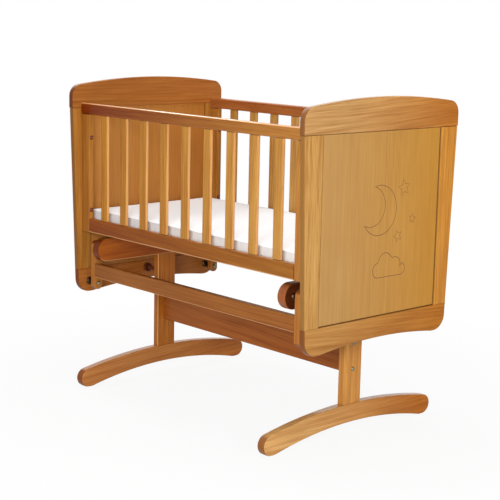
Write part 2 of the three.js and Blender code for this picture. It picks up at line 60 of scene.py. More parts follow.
# Stain, linear, partly painted shade and painted light falloff: word in the piece's name, axis of the
# drift, first colour and second colour. A piece takes the first row whose word is in its name. Its colour
# drifts from the first colour to the second along X (left to right) or Y (front to back); this drift is
# painted light falloff across the piece. Pieces that sit in shade are darkened as painted shade
STAINS_AND_PAINTED_SHADE = (
    ("right_end_panel", "Y", (0.504, 0.284, 0.0892), (0.57, 0.26, 0.025)),
    ("right_end_top_rail", "Y", (0.55, 0.312, 0.113), (0.533, 0.185, 0.0167)),
    ("right_end_bottom_rail", "Y", (0.475, 0.229, 0.0583), (0.51, 0.178, 0.00907)),
    ("right_end", "Y", (0.541, 0.293, 0.08), (0.666, 0.285, 0.0363)),
    ("left_end_panel", "Y", (0.543, 0.233, 0.0504), (0.514, 0.194, 0.0315)),
    ("left_end_top_rail", "Y", (0.37, 0.132, 0.0237), (0.432, 0.144, 0.0258)),
    ("left_end_bottom_rail", "Y", (0.44, 0.155, 0.03), (0.44, 0.155, 0.03)),
    ("left_end", "Y", (0.465, 0.2, 0.0345), (0.465, 0.2, 0.0345)),
    ("base", "X", (0.66, 0.50, 0.31), (0.66, 0.50, 0.31)),
    ("back_slat", "X", (0.536, 0.263, 0.0494), (0.782, 0.461, 0.159)),
    ("slat", "X", (0.52, 0.212, 0.019), (0.577, 0.297, 0.0656)),
    ("stile", "X", (0.454, 0.184, 0.0285), (0.487, 0.204, 0.0375)),
    ("front_side_top_rail", "X", (0.234, 0.0362, 0.0012), (0.464, 0.199, 0.0396)),
    ("front_side_bottom_rail", "X", (0.303, 0.0713, 0.00154), (0.349, 0.131, 0.0178)),
    ("back_side", "X", (0.41, 0.133, 0.0326), (0.41, 0.133, 0.0326)),
    ("link", "X", (0.482, 0.186, 0.0334), (0.482, 0.186, 0.0334)),
    ("swing_rail", "X", (0.325, 0.109, 0.0174), (0.341, 0.118, 0.021)),
    # The knob, the top bars, the left post and the stretcher are darkened as painted shade, where they sit
    # in shade under the cradle
    ("knob", "X", (0.16, 0.045, 0.012), (0.16, 0.045, 0.012)),
    ("left_top_bar", "Y", (0.389, 0.0999, 0.0088), (0.389, 0.0999, 0.0088)),
    ("right_top_bar", "Y", (0.1, 0.024, 0.006), (0.1, 0.024, 0.006)),
    ("left_foot", "Y", (0.57, 0.24, 0.0653), (0.539, 0.182, 0.0319)),
    ("right_foot", "Y", (0.666, 0.366, 0.125), (0.501, 0.152, 0.00787)),
    ("left_post", "Y", (0.477, 0.159, 0.0191), (0.477, 0.159, 0.0191)),
    ("right_post", "Y", (0.623, 0.286, 0.063), (0.623, 0.286, 0.063)),
    ("stretcher", "X", (0.391, 0.115, 0.0174), (0.391, 0.115, 0.0174)),
)
# Spans, in metres along X and Y, over which the painted light falloff goes from the first colour to the
# second
PAINTED_FALLOFF_SPANS = {"X": (-0.42, 0.35), "Y": (-0.15, 0.27)}

# Factors on the stain, for early and late wood, the edges of the ends' stiles, and end grain
LIGHT_GRAIN = (1.16, 1.24, 1.36)
DARK_GRAIN = (0.68, 0.56, 0.44)
DARK_EDGE = (0.52, 0.44, 0.34)
END_GRAIN = (0.38, 0.24, 0.16)
# Painted light: the right top bar's body is darkened as painted shade, and these factors lighten its round
# end back to its lit colour
LIT_END_OVER_PAINTED_SHADE = (3.1, 3.9, 4.5)

# How much each part of the grain darkens the wood, and the spans over which the sum shows
RING_SHARE = 0.4
FIBRE_SHARE = 0.5
STREAK_SHARE = 0.5
BLOTCH_SHARE = 0.35
PINE_SPAN = (0.1, 1.1)
VENEER_SPAN = (-0.9, 2.0)

# Ranges: from a low and a high value, to the values that they give
END_GRAIN_RANGE = (0.2, 0.55, 0.0, 0.95)
DARK_EDGE_RANGE = (0.4, 0.8, 0.0, 0.95)
WOOD_ROUGHNESS = (0.2, 0.8, 0.32, 0.48)
GLOSS_GLANCING = (0.48, 0.56, 0.03, 0.75)
GLOSS_AT_OUTLINE = (0.86, 0.95, 1.0, 0.1)
GLOSS_LOOKING_UP = (0.2, 0.6, 0.12, 1.0)

# Gap round the raised field of an end panel, darkened as painted shade where shade falls in the gap
GAP_FLOOR = 465.5 * MM
FIELD_FACE = 469.5 * MM
GAP_SHADE_FROM = (GAP_FLOOR - 5 * MM, GAP_FLOOR - 4 * MM, 0.0, 0.9)
GAP_SHADE_TO = (FIELD_FACE - 1.2 * MM, FIELD_FACE - 0.6 * MM, 0.9, 0.0)
PAINTED_GAP_SHADE = (0.3, 0.22, 0.15)

# Painted highlights on arrises, for reflections of the floor and glints of the lamps: word in the piece's
# name, and the way that the highlighted arris faces
PAINTED_ARRIS_HIGHLIGHT = (0.80, 0.42, 0.17)
PAINTED_HIGHLIGHT_RANGE = (0.8, 0.96, 0.0, 0.75)
PAINTED_HIGHLIGHT_ARRISES = (
    ("front_side_top_rail", (0, -0.6, 0.8)),
    ("front_side_bottom_rail", (0, -0.7, -0.7)),
    ("swing_rail", (0, -0.7, -0.7)),
    ("left_top_bar", (0.7, 0, -0.7)),
    ("front_slat", (1, 0, 0)),
    ("front_left_link", (0.7, -0.7, 0)),
    ("left_post", (0.7, -0.7, 0)),
)

# Line burnt into the panel, mattress cover, and the metals: bright and dull colour of each
BURNT_LINE = (0.17, 0.075, 0.022)
COTTON = (0.92, 0.945, 0.97)
COTTON_STRIPE = (0.87, 0.895, 0.92)
ZINC = (0.34, 0.34, 0.22)
ZINC_DULL = (0.07, 0.075, 0.045)
BRONZE = (0.26, 0.07, 0.035)
BRONZE_DULL = (0.10, 0.028, 0.014)
# Sleeves: dark steel, darkened further as painted shade, since they sit in shade between the links, the top
# bars and the ends
SLEEVE_COLOUR_AND_SHADE = (0.10, 0.06, 0.03)
SLEEVE_DULL_AND_SHADE = (0.03, 0.02, 0.012)

# Grain direction of each kind of piece, as the coordinate that runs along it. The others run along Z
GRAIN_ALONG_X = ("side_top_rail", "side_bottom_rail", "swing_rail", "stretcher", "base", "knob")
GRAIN_ALONG_Y = ("end_top_rail", "end_bottom_rail", "foot", "top_bar")

# Rounding of the arrises, in millimetres
EDGE_SEGMENTS = 3
SEAM_ROUND = 0.4
SLAB_ROUND = 3.0
BAR_ROUND = 1.0
SLAB_PIECES = (
    "end_top_rail", "end_bottom_rail", "end_front_stile", "end_back_stile", "foot", "top_bar", "link",
)
SQUARE_EDGE = math.radians(50)
FLAT_EDGE = math.radians(0.6)
TOUCHING = 0.9 * MM  # an edge this close to another piece is a seam
WELD = 0.01 * MM
MATCH = 0.02 * MM  # step to which places are rounded where edges are matched

# Places of the pivots, screws and lock, in millimetres. Their bores run along X, and the edges within
# these radii stay as drilled
ENDS = {"left": -1, "right": 1}
SIDES = {"front": -1, "back": 1}
PIVOT_Y = 218
UPPER_PIVOT_Z = 389
LOWER_PIVOT_Z = 287
SIDE_SCREW_X = 416.2
SIDE_SCREW_Y = 237
SIDE_SCREW_HEIGHTS = {"low": 499.5, "high": 704}
POST_FACE_X = 390
POST_BOLT_HEIGHTS = {"low": 171, "high": 239}
LINK_OUTER_X = 427
LINK_INNER_X = 409
RAIL_SCREW_Y = -222
RAIL_SCREW_HEIGHTS = {"low": 316.5, "high": 333}
END_INNER_X = 453.5
LOCK_Y = -11
LOCK_Z = 303.6
PIVOT_BORE = 6
SCREW_BORE = 4
POST_BOLT_BORE = 4.5
LOCK_BORE = 6.5


def is_any(name, words):
    return any(word in name for word in words)


# Node trees
def node(tree, kind, inputs=None, **settings):
    made = tree.nodes.new(kind)
    for key, value in settings.items():
        setattr(made, key, value)
    for key, value in (inputs or {}).items():
        if isinstance(value, bpy.types.NodeSocket):
            tree.links.new(value, made.inputs[key])
        else:
            made.inputs[key].default_value = value
    return made


def maths(tree, operation, *values):
    made = tree.nodes.new("ShaderNodeMath")
    made.operation = operation
    for i, value in enumerate(values):
        if isinstance(value, bpy.types.NodeSocket):
            tree.links.new(value, made.inputs[i])
        else:
            made.inputs[i].default_value = value
    return made.outputs[0]


def vector_maths(tree, operation, *values):
    made = tree.nodes.new("ShaderNodeVectorMath")
    made.operation = operation
    for i, value in enumerate(values):
        if isinstance(value, bpy.types.NodeSocket):
            tree.links.new(value, made.inputs[i])
        else:
            made.inputs[i].default_value = value
    return made


def ranged(tree, value, low, high, to_low=0.0, to_high=1.0):
    inputs = {"Value": value, "From Min": low, "From Max": high, "To Min": to_low, "To Max": to_high}
    return node(tree, "ShaderNodeMapRange", inputs, clamp=True).outputs[0]


def noise(tree, place, scale, detail=2.0, roughness=0.5):
    inputs = {"Vector": place, "Scale": scale, "Detail": detail, "Roughness": roughness}
    return node(tree, "ShaderNodeTexNoise", inputs).outputs["Fac"]


def mixed(tree, share, first, second):
    made = node(tree, "ShaderNodeMix", data_type="RGBA")
    for key, value in ((0, share), (6, first), (7, second)):
        if isinstance(value, bpy.types.NodeSocket):
            tree.links.new(value, made.inputs[key])
        else:
            made.inputs[key].default_value = (*value, 1) if isinstance(value, tuple) else value
    return made.outputs[2]


def new_material(name):
    material = bpy.data.materials.new(name)
    material.use_nodes = True
    tree = material.node_tree
    tree.nodes.clear()
    shader = tree.nodes.new("ShaderNodeBsdfPrincipled")
    output = tree.nodes.new("ShaderNodeOutputMaterial")
    tree.links.new(shader.outputs[0], output.inputs[0])
    return material, tree, shader


# Pine: growth rings round an axis that runs askew below the board, fibres, streaks and blotches of
# stain. Stretches are lengthwise and crosswise scales of the noise
RING_SPACING = 6.5 * MM
SLOW_STRETCH = (1.6, 9.0)
FIBRE_STRETCH = (9.0, 420.0)
STREAK_STRETCH = (3.0, 120.0)
BLOTCH_STRETCH = (3.0, 10.0)
RING_BEND = 0.05
LATE_WOOD_POWER = 2.2


def grain_group():
    group = bpy.data.node_groups.new("pine_grain", "ShaderNodeTree")
    group.interface.new_socket("Place", in_out="INPUT", socket_type="NodeSocketVector")
    for name in ("Rings", "Fibres", "Streaks", "Blotches"):
        group.interface.new_socket(name, in_out="OUTPUT", socket_type="NodeSocketFloat")
    place = group.nodes.new("NodeGroupInput").outputs[0]

    def stretched(lengthwise, crosswise):
        return vector_maths(group, "MULTIPLY", place, (lengthwise, crosswise, crosswise)).outputs[0]

    slow = stretched(*SLOW_STRETCH)
    wobble = node(group, "ShaderNodeTexNoise", {"Vector": slow, "Scale": 1.0, "Detail": 2.0})
    shifted = vector_maths(group, "SUBTRACT", wobble.outputs["Color"], (0.5, 0.5, 0.5)).outputs[0]
    bent = vector_maths(group, "MULTIPLY", shifted, (0, RING_BEND, RING_BEND)).outputs[0]
    moved = vector_maths(group, "ADD", place, bent).outputs[0]
    across = vector_maths(group, "MULTIPLY", moved, (0, 1, 1)).outputs[0]
    radius = vector_maths(group, "LENGTH", across).outputs["Value"]
    turn = maths(group, "FRACT", maths(group, "DIVIDE", radius, RING_SPACING))
    late = maths(group, "POWER", turn, LATE_WOOD_POWER)
    fade = ranged(group, turn, 0.85, 1.0, 1.0, 0.0)
    patches = ranged(group, noise(group, slow, 2.3), 0.35, 0.7, 0.3, 1.0)
    rings = maths(group, "MULTIPLY", maths(group, "MULTIPLY", late, fade), patches)
    fibres = noise(group, stretched(*FIBRE_STRETCH), 1.0, 3.0, 0.6)
    streaks = noise(group, stretched(*STREAK_STRETCH), 1.0, 2.0, 0.5)
    blotches = noise(group, stretched(*BLOTCH_STRETCH), 1.0, 3.0)
    output = group.nodes.new("NodeGroupOutput")
    for i, value in enumerate((rings, fibres, streaks, blotches)):
        group.links.new(value, output.inputs[i])
    return group


GRAIN = grain_group()
RANDOM = random.Random(11)
TURNS = {
    "X": ((1, 0, 0), (0, 1, 0), (0, 0, 1)),
    "Y": ((0, 1, 0), (1, 0, 0), (0, 0, 1)),
    "Z": ((0, 0, 1), (0, 1, 0), (1, 0, 0)),
}


def turned(tree, vector, axis):
    parts = [vector_maths(tree, "DOT_PRODUCT", vector, row).outputs["Value"] for row in TURNS[axis]]
    return node(tree, "ShaderNodeCombineXYZ", dict(zip("XYZ", parts))).outputs[0], parts[0]


def times(colour, factors):
    return tuple(c * f for c, f in zip(colour, factors))


def grain_place(tree, place, axis, middle):
    """Place in the wood, with X along the grain and the pith askew, below the middle of the piece."""
    turned_place, _ = turned(tree, place, axis)
    pith = (
        RANDOM.uniform(-3, 3),
        RANDOM.choice((-1, 1)) * RANDOM.uniform(0.05, 0.12),
        RANDOM.uniform(0.06, 0.16),
    )
    centre = tuple(Vector(row).dot(middle) for row in TURNS[axis])
    shift = tuple(p - c for p, c in zip(pith, centre))
    moved = vector_maths(tree, "ADD", turned_place, shift).outputs[0]
    lengthwise = node(tree, "ShaderNodeSeparateXYZ", {0: moved}).outputs[0]
    lean = maths(tree, "MULTIPLY", lengthwise, RANDOM.uniform(-0.06, 0.06))
    tilt = node(tree, "ShaderNodeCombineXYZ", {"Z": lean}).outputs[0]
    return vector_maths(tree, "ADD", moved, tilt).outputs[0]


def grained(tree, share, stain):
    return mixed(tree, share, times(stain, LIGHT_GRAIN), times(stain, DARK_GRAIN))


def polish(tree, upward):
    """Gloss on faces that look up and are seen at a glancing angle, and little elsewhere."""
    facing = node(tree, "ShaderNodeLayerWeight", {"Blend": 0.5}).outputs["Facing"]
    gloss = ranged(tree, facing, *GLOSS_GLANCING)
    gloss = maths(tree, "MINIMUM", gloss, ranged(tree, facing, *GLOSS_AT_OUTLINE))
    return maths(tree, "MINIMUM", gloss, ranged(tree, upward, *GLOSS_LOOKING_UP))


def wood(name, axis, falloff_axis, first, second, middle, end_grain_or_lit_end):
    material, tree, shader = new_material(name)
    coordinates = tree.nodes.new("ShaderNodeTexCoord")
    place, normal = coordinates.outputs["Object"], coordinates.outputs["Normal"]
    place_xyz = node(tree, "ShaderNodeSeparateXYZ", {0: place}).outputs
    normal_xyz = node(tree, "ShaderNodeSeparateXYZ", {0: normal}).outputs
    grain = node(tree, "ShaderNodeGroup", node_tree=GRAIN)
    tree.links.new(grain_place(tree, place, axis, middle), grain.inputs[0])
    rings, fibres, streaks, blotches = grain.outputs

    share = maths(tree, "MULTIPLY", rings, RING_SHARE)
    for value, most in ((fibres, FIBRE_SHARE), (streaks, STREAK_SHARE), (blotches, BLOTCH_SHARE)):
        share = maths(tree, "ADD", share, ranged(tree, value, 0.3, 0.7, 0.0, most))
    share = ranged(tree, share, *(VENEER_SPAN if "panel" in name else PINE_SPAN))
    # Painted light falloff across the piece, from the first colour to the second
    painted_falloff = ranged(tree, place_xyz[falloff_axis], *PAINTED_FALLOFF_SPANS[falloff_axis])
    seen = mixed(tree, painted_falloff, grained(tree, share, first), grained(tree, share, second))

    _, along = turned(tree, normal, axis)
    end_share = ranged(tree, maths(tree, "ABSOLUTE", along), *END_GRAIN_RANGE)
    seen = mixed(tree, end_share, seen, times(first, end_grain_or_lit_end))
    if "_end_" in name and "stile" in name:
        edge_share = ranged(tree, maths(tree, "ABSOLUTE", normal_xyz["Y"]), *DARK_EDGE_RANGE)
        seen = mixed(tree, edge_share, seen, times(first, DARK_EDGE))
    # Painted shade in the gap round the raised field of the panel
    if "panel" in name:
        depth = maths(tree, "ABSOLUTE", place_xyz["X"])
        gap_shade_limits = (ranged(tree, depth, *GAP_SHADE_FROM), ranged(tree, depth, *GAP_SHADE_TO))
        seen = mixed(tree, maths(tree, "MINIMUM", *gap_shade_limits), seen, times(first, PAINTED_GAP_SHADE))
    # Painted highlights on the arrises listed above
    for word, way in PAINTED_HIGHLIGHT_ARRISES:
        if word in name:
            direction = tuple(Vector(way).normalized())
            toward_highlight = vector_maths(tree, "DOT_PRODUCT", normal, direction).outputs["Value"]
            seen = mixed(tree, ranged(tree, toward_highlight, *PAINTED_HIGHLIGHT_RANGE), seen, PAINTED_ARRIS_HIGHLIGHT)

    tree.links.new(seen, shader.inputs["Base Color"])
    tree.links.new(ranged(tree, fibres, *WOOD_ROUGHNESS), shader.inputs["Roughness"])
    height = maths(tree, "ADD", maths(tree, "MULTIPLY", rings, -0.5), fibres)
    bump = node(tree, "ShaderNodeBump", {"Strength": 0.2, "Distance": 0.0003, "Height": height})
    tree.links.new(bump.outputs[0], shader.inputs["Normal"])
    shader.inputs["Specular IOR Level"].default_value = 0.12
    tree.links.new(polish(tree, normal_xyz["Z"]), shader.inputs["Coat Weight"])
    shader.inputs["Coat IOR"].default_value = 1.8
    shader.inputs["Coat Roughness"].default_value = 0.1
    return material


def clouded(name, scale, detail, colour, dull, roughness, metallic):
    """Material whose colour and roughness drift in small clouds."""
    material, tree, shader = new_material(name)
    place = tree.nodes.new("ShaderNodeTexCoord").outputs["Object"]
    cloud = noise(tree, place, scale, detail)
    tree.links.new(mixed(tree, ranged(tree, cloud, 0.3, 0.7), colour, dull), shader.inputs["Base Color"])
    tree.links.new(ranged(tree, cloud, 0.2, 0.8, *roughness), shader.inputs["Roughness"])
    shader.inputs["Metallic"].default_value = metallic
    return material


def metal(name, colour, dull):
    return clouded(name, 220.0, 3.0, colour, dull, (0.25, 0.45), 1.0)


TICKING_PITCH = 9 * MM
TICKING_HALF_WIDTH = 0.16
WEAVE_SCALE = 260.0


def cotton(name):
    material, tree, shader = new_material(name)
    place = tree.nodes.new("ShaderNodeTexCoord").outputs["Object"]
    x = node(tree, "ShaderNodeSeparateXYZ", {0: place}).outputs[0]
    turn = maths(tree, "FRACT", maths(tree, "DIVIDE", x, TICKING_PITCH))
    from_middle = maths(tree, "ABSOLUTE", maths(tree, "SUBTRACT", turn, 0.5))
    stripe = maths(tree, "LESS_THAN", from_middle, TICKING_HALF_WIDTH)
    blotch = ranged(tree, noise(tree, place, 9.0, 3.0), 0.3, 0.7, 0.0, 0.35)
    share = maths(tree, "ADD", maths(tree, "MULTIPLY", stripe, 0.6), blotch)
    tree.links.new(mixed(tree, share, COTTON, COTTON_STRIPE), shader.inputs["Base Color"])
    tree.links.new(ranged(tree, noise(tree, place, 60.0), 0.3, 0.7, 0.85, 0.98), shader.inputs["Roughness"])
    weave = []
    for axis in ("X", "Y", "Z"):
        inputs = {"Vector": place, "Scale": WEAVE_SCALE}
        weave.append(node(tree, "ShaderNodeTexWave", inputs, bands_direction=axis).outputs["Fac"])
    woven = maths(tree, "MULTIPLY", weave[0], weave[1])
    height = maths(tree, "ADD", woven, maths(tree, "MULTIPLY", weave[2], 0.5))
    bump = node(tree, "ShaderNodeBump", {"Strength": 0.35, "Distance": 0.0003, "Height": height})
    tree.links.new(bump.outputs[0], shader.inputs["Normal"])
    shader.inputs["Sheen Weight"].default_value = 0.3
    shader.inputs["Specular IOR Level"].default_value = 0.2
    return material


# Rounded arrises on the CAD pieces, by edge weights: full outside, fine at a seam, none in a bore
def bores():
    """Bores as (y, z, radius) in millimetres."""
    places = []
    for side in SIDES.values():
        places += [(side * PIVOT_Y, z, PIVOT_BORE) for z in (UPPER_PIVOT_Z, LOWER_PIVOT_Z)]
        places += [(side * SIDE_SCREW_Y, z, SCREW_BORE) for z in SIDE_SCREW_HEIGHTS.values()]
    places += [(RAIL_SCREW_Y, z, SCREW_BORE) for z in RAIL_SCREW_HEIGHTS.values()]
    places += [(0, z, POST_BOLT_BORE) for z in POST_BOLT_HEIGHTS.values()]
    return places + [(LOCK_Y, LOCK_Z, LOCK_BORE)]


BORES = bores()


def in_bore(point):
    return any(math.hypot(point.y / MM - y, point.z / MM - z) < r for y, z, r in BORES)


def key_of(point):
    return tuple(round(c / MATCH) for c in point)


def welded(mesh):
    bm = bmesh.new()
    bm.from_mesh(mesh)
    bmesh.ops.remove_doubles(bm, verts=bm.verts, dist=WELD)
    return bm


WOODEN = [n for n in NODES if "bolt" not in n and n != "mattress"]
TREES = {}
for wooden in WOODEN:
    welded_mesh = welded(NODES[wooden].data)
    TREES[wooden] = BVHTree.FromBMesh(welded_mesh)
    welded_mesh.free()


def touches_another(point, name):
    others = (tree for other, tree in TREES.items() if other != name)
    return any(tree.find_nearest(point, TOUCHING)[0] is not None for tree in others)


def round_arrises(name, width):
    mesh = NODES[name].data
    bm = welded(mesh)
    weights = {}
    for edge in bm.edges:
        if len(edge.link_faces) != 2 or edge.calc_face_angle(0) < SQUARE_EDGE:
            continue
        first, second = (v.co for v in edge.verts)
        if in_bore(first) and in_bore(second):
            weight = 0
        elif touches_another((first + second) / 2, name):
            weight = SEAM_ROUND / width
        else:
            weight = 1
        weights[frozenset((key_of(first), key_of(second)))] = weight
    bm.free()
    found = []
    for edge in mesh.edges:
        found.append(weights.get(frozenset(key_of(mesh.vertices[i].co) for i in edge.vertices)))
    rounding = mesh.attributes.new("bevel_weight_edge", "FLOAT", "EDGE")
    rounding.data.foreach_set("value", [weight or 0 for weight in found])
    creased = mesh.attributes.get("sharp_edge") or mesh.attributes.new("sharp_edge", "BOOLEAN", "EDGE")
    creased.data.foreach_set("value", [weight == 0 for weight in found])
    mesh.polygons.foreach_set("use_smooth", [True] * len(mesh.polygons))
    piece = NODES[name]
    weld = piece.modifiers.new("weld", "WELD")
    weld.merge_threshold = WELD
    flat = piece.modifiers.new("flat", "DECIMATE")
    flat.decimate_type = "DISSOLVE"
    flat.angle_limit = FLAT_EDGE
    bevel = piece.modifiers.new("round", "BEVEL")
    bevel.limit_method = "WEIGHT"
    bevel.width = width * MM
    bevel.segments = EDGE_SEGMENTS
    bevel.use_clamp_overlap = True
    normals = piece.modifiers.new("normals", "WEIGHTED_NORMAL")
    normals.keep_sharp = True


def dress_wood():
    for name in WOODEN:
        axis = "X" if is_any(name, GRAIN_ALONG_X) else "Y" if is_any(name, GRAIN_ALONG_Y) else "Z"
        low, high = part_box(name)
        falloff_axis, first, second = next(row[1:] for row in STAINS_AND_PAINTED_SHADE if row[0] in name)
        middle = (Vector(low) + Vector(high)) / 2
        # The right top bar's round end takes the lit copy of its painted-shade stain; the other pieces take
        # real end grain
        end_grain_or_lit_end = LIT_END_OVER_PAINTED_SHADE if name == "right_top_bar" else END_GRAIN
        material = wood(name, axis, falloff_axis, first, second, middle, end_grain_or_lit_end)
        mesh = NODES[name].data
        mesh.materials.clear()
        mesh.materials.append(material)
        round_arrises(name, SLAB_ROUND if is_any(name, SLAB_PIECES) else BAR_ROUND)


# New pieces
def add_piece(name, bm, material, body):
    mesh = bpy.data.meshes.new(name)
    bmesh.ops.recalc_face_normals(bm, faces=bm.faces)
    bm.to_mesh(mesh)
    bm.free()
    mesh.polygons.foreach_set("use_smooth", [True] * len(mesh.polygons))
    mesh.materials.append(material)
    piece = bpy.data.objects.new(name, mesh)
    bpy.context.scene.collection.objects.link(piece)
    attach(piece, body)
    return piece


def lathe(bm, profile, steps=32, turn=Matrix.Identity(4)):
    """Turned form: profile points are (radius, along), and along becomes +Z of the turn."""
    rings = []
    for radius, along in profile:
        if radius == 0:
            rings.append([bm.verts.new(turn @ Vector((0, 0, along)))])
            continue
        ring = []
        for i in range(steps):
            angle = 2 * math.pi * i / steps
            place = Vector((radius * math.cos(angle), radius * math.sin(angle), along))
            ring.append(bm.verts.new(turn @ place))
        rings.append(ring)
    for low, high in zip(rings, rings[1:]):
        for i in range(steps):
            j = (i + 1) % steps
            corners = [low[i % len(low)], low[j % len(low)], high[j % len(high)], high[i % len(high)]]
            distinct = list(dict.fromkeys(corners))
            if len(distinct) > 2:
                bm.faces.new(distinct)


def along_x(x, y, z, direction):
    """Turn that lays a lathe's axis along +X or -X, with its origin at a place in millimetres."""
    rotation = Matrix.Rotation(direction * math.pi / 2, 4, "Y")
    return Matrix.Translation(Vector((x, y, z)) * MM) @ rotation


def scaled(profile):
    return [(radius * MM, along * MM) for radius, along in profile]


def socket_head(radius, height):
    """Button head with a socket, seat at 0, top at +height."""
    socket = 0.42 * radius
    return scaled([
        (0, height * 0.35), (socket, height * 0.35), (socket, height * 0.95), (socket * 1.12, height),
        (radius * 0.62, height * 0.93), (radius * 0.82, height * 0.72), (radius * 0.95, height * 0.4),
        (radius, height * 0.15), (radius, 0), (radius * 0.5, 0),
    ])


STEEL = metal("zinc_steel", ZINC, ZINC_DULL)
SLEEVE_METAL_AND_SHADE = metal("sleeve_steel_and_painted_shade", SLEEVE_COLOUR_AND_SHADE, SLEEVE_DULL_AND_SHADE)
BRONZED = metal("bronzed_steel", BRONZE, BRONZE_DULL)

# Screws and bolts as (radius of the head, its height, radius of the shank), in millimetres
SIDE_SCREW = (6.2, 1.8, 2.3)
POST_BOLT = (5.6, 2.4, 2.8)
RAIL_SCREW = (4.2, 2.0, 2.3)
SHANK_LENGTH = 6
SCREW_MIDDLE = ((0, 2.6), (1.6, 2.3), (2.4, 1.2), (2.4, 0.3), (0, 0.3))
PIVOT_HEAD = (6.5, 5)
PIVOT_SHANK = 4
UPPER_PIVOT_LENGTH = 53
LOWER_PIVOT_LENGTH = 56.5
UPPER_SLEEVE_RADIUS = 10
UPPER_SLEEVE_LENGTH = 14.9
LOWER_SLEEVE_RADIUS = 11
SLEEVE_BORE = 4.1
SLEEVE_WAIST = 0.82
SLEEVE_LIP = 1.6
PLAY = 0.3


def add_head(name, body, place, direction, size, material=STEEL):
    radius, height, shank = size
    bm = bmesh.new()
    profile = socket_head(radius, height) + scaled([(shank, 0), (shank, -SHANK_LENGTH), (0, -SHANK_LENGTH)])
    lathe(bm, profile, 28, along_x(*place, direction))
    return add_piece(name, bm, material, body)


def add_fasteners():
    for end_label, end in ENDS.items():
        for side_label, side in SIDES.items():
            for level, z in SIDE_SCREW_HEIGHTS.items():
                name = f"{side_label}_{end_label}_side_screw_{level}"
                place = (end * SIDE_SCREW_X, side * SIDE_SCREW_Y, z)
                add_head(name, "cradle", place, -end, SIDE_SCREW, BRONZED)
                bm = bmesh.new()
                lathe(bm, scaled(SCREW_MIDDLE), 20, along_x(*place, -end))
                add_piece(name.replace("screw", "screw_middle"), bm, STEEL, "cradle")
        for level, z in POST_BOLT_HEIGHTS.items():
            add_head(f"{end_label}_post_bolt_{level}", "stand", (end * POST_FACE_X, 0, z), end, POST_BOLT)
        for level, z in RAIL_SCREW_HEIGHTS.items():
            name = f"front_{end_label}_rail_screw_{level}"
            add_head(name, "front_swing", (end * LINK_OUTER_X, RAIL_SCREW_Y, z), end, RAIL_SCREW)


def spacer(radius, start, stop):
    """Sleeve with washers at its ends and a groove in the middle."""
    lip = min(SLEEVE_LIP, (stop - start) / 4)
    waist = radius * SLEEVE_WAIST
    return scaled([
        (SLEEVE_BORE, start), (radius, start), (radius, start + lip), (waist, start + lip + 0.3),
        (waist, stop - lip - 0.3), (radius, stop - lip), (radius, stop), (SLEEVE_BORE, stop),
    ])


def add_pivot(bolt, body, turn, length, sleeve):
    """Bolt that stands for a CAD node, and its sleeve, given as (radius, start, stop)."""
    bm = bmesh.new()
    shank = scaled([(PIVOT_SHANK, 0), (PIVOT_SHANK, -length), (0, -length)])
    lathe(bm, socket_head(*PIVOT_HEAD) + shank, 32, turn)
    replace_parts(add_piece(bolt.replace("bolt", "fitting"), bm, STEEL, body), bolt)
    bm = bmesh.new()
    lathe(bm, spacer(*sleeve), 32, turn)
    # The sleeve's colour is dark steel and partly painted shade
    add_piece(bolt.replace("bolt", "sleeve"), bm, SLEEVE_METAL_AND_SHADE, body)


def add_pivots():
    for end_label, end in ENDS.items():
        for side_label, side in SIDES.items():
            seat = LINK_OUTER_X + PLAY
            turn = along_x(end * seat, side * PIVOT_Y, UPPER_PIVOT_Z, end)
            stop = LINK_INNER_X - seat - PLAY
            sleeve = (UPPER_SLEEVE_RADIUS, stop - UPPER_SLEEVE_LENGTH, stop)
            bolt = f"{side_label}_{end_label}_upper_pivot_bolt"
            add_pivot(bolt, "stand", turn, UPPER_PIVOT_LENGTH, sleeve)

            seat = LINK_INNER_X - PLAY
            turn = along_x(end * seat, side * PIVOT_Y, LOWER_PIVOT_Z, -end)
            sleeve = (LOWER_SLEEVE_RADIUS, seat - END_INNER_X + PLAY, seat - LINK_OUTER_X - PLAY)
            bolt = f"{side_label}_{end_label}_lower_pivot_bolt"
            add_pivot(bolt, "cradle", turn, LOWER_PIVOT_LENGTH, sleeve)


# Mattress: a boxed cushion, flat below, crowned above, taped along its two edges
MATTRESS_HALF_X = 450.5
MATTRESS_HALF_Y = 218
MATTRESS_SHIFT = 6
MATTRESS_BOTTOM = 453.6
MATTRESS_THICKNESS = 45
MATTRESS_CROWN = 3
MATTRESS_CORNER = 12
MATTRESS_EDGE = 6
MATTRESS_DRAW_IN = 5
MATTRESS_PUFF = 0.8
TAPE_RADIUS = 2.2
TAPE_INSET = 2.4
TAPE_RISE = 3.2
TAPE_DRAW = 0.35
TAPE_STEPS = 8
WALK_STEP = 9
CORNER_STEPS = 10
EDGE_STEPS = 6
SIDE_STEPS = 4
TOP_STEPS = 22


def mattress_walk(inset):
    """Points once round the mattress: place, outward direction and pull towards the middle of a side."""
    centre_x = MATTRESS_HALF_X - MATTRESS_CORNER
    centre_y = MATTRESS_HALF_Y - MATTRESS_CORNER
    points = []
    for corner, (sx, sy) in enumerate(((1, 1), (-1, 1), (-1, -1), (1, -1))):
        for i in range(CORNER_STEPS + 1):
            angle = math.pi / 2 * (corner + i / CORNER_STEPS)
            out = Vector((math.cos(angle), math.sin(angle)))
            points.append((Vector((sx * centre_x, sy * centre_y)), out, 0.0))
        along_side = corner % 2 == 0
        length = 2 * (centre_x if along_side else centre_y)
        steps = round(length / WALK_STEP)
        out = Vector((0, sy)) if along_side else Vector((sx, 0))
        for i in range(1, steps):
            back = 1 - 2 * i / steps
            share_x, share_y = (back, 1) if along_side else (1, back)
            centre = Vector((sx * centre_x * share_x, sy * centre_y * share_y))
            points.append((centre, out, math.sin(math.pi * i / steps)))
    reach = MATTRESS_CORNER - inset
    return [(centre + out * reach, out, pull) for centre, out, pull in points]


